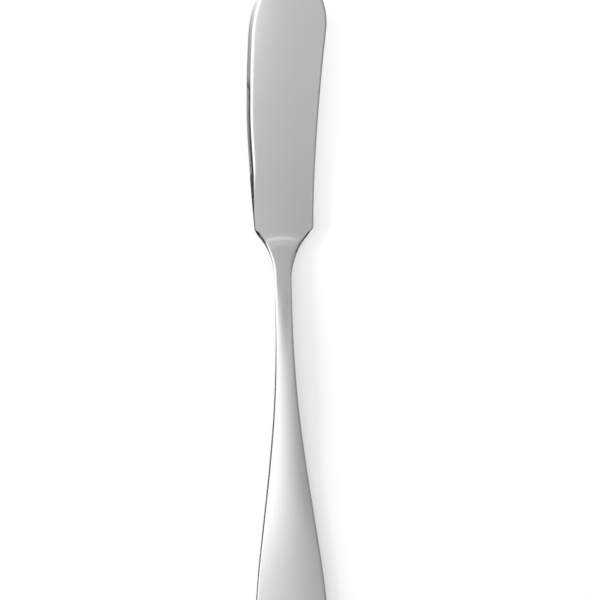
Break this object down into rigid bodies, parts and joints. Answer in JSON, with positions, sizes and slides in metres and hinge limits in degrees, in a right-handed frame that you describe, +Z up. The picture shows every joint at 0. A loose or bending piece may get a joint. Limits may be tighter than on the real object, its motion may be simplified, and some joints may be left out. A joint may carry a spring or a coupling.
{
  "type": "butter knife",
  "caption": "Slim steel butter knife: a broad round-tipped spreading blade with a finely toothed edge, brazed into a solid handle that flares from a narrow neck.",
  "frame": {"origin": "middle of the knife's bounding box, on the surface that the knife lies on", "axes": "+Y along the knife to the blade's tip, +X to the spine side, +Z up from the surface"},
  "size_m": [0.021, 0.17, 0.007],
  "materials": {
    "blade_steel": "satin, with a brighter ground edge",
    "handle_steel": "fine satin"
  },
  "bodies": {
    "root": {"blade": "blade_steel", "handle": "handle_steel"}
  },
  "joints": []
}
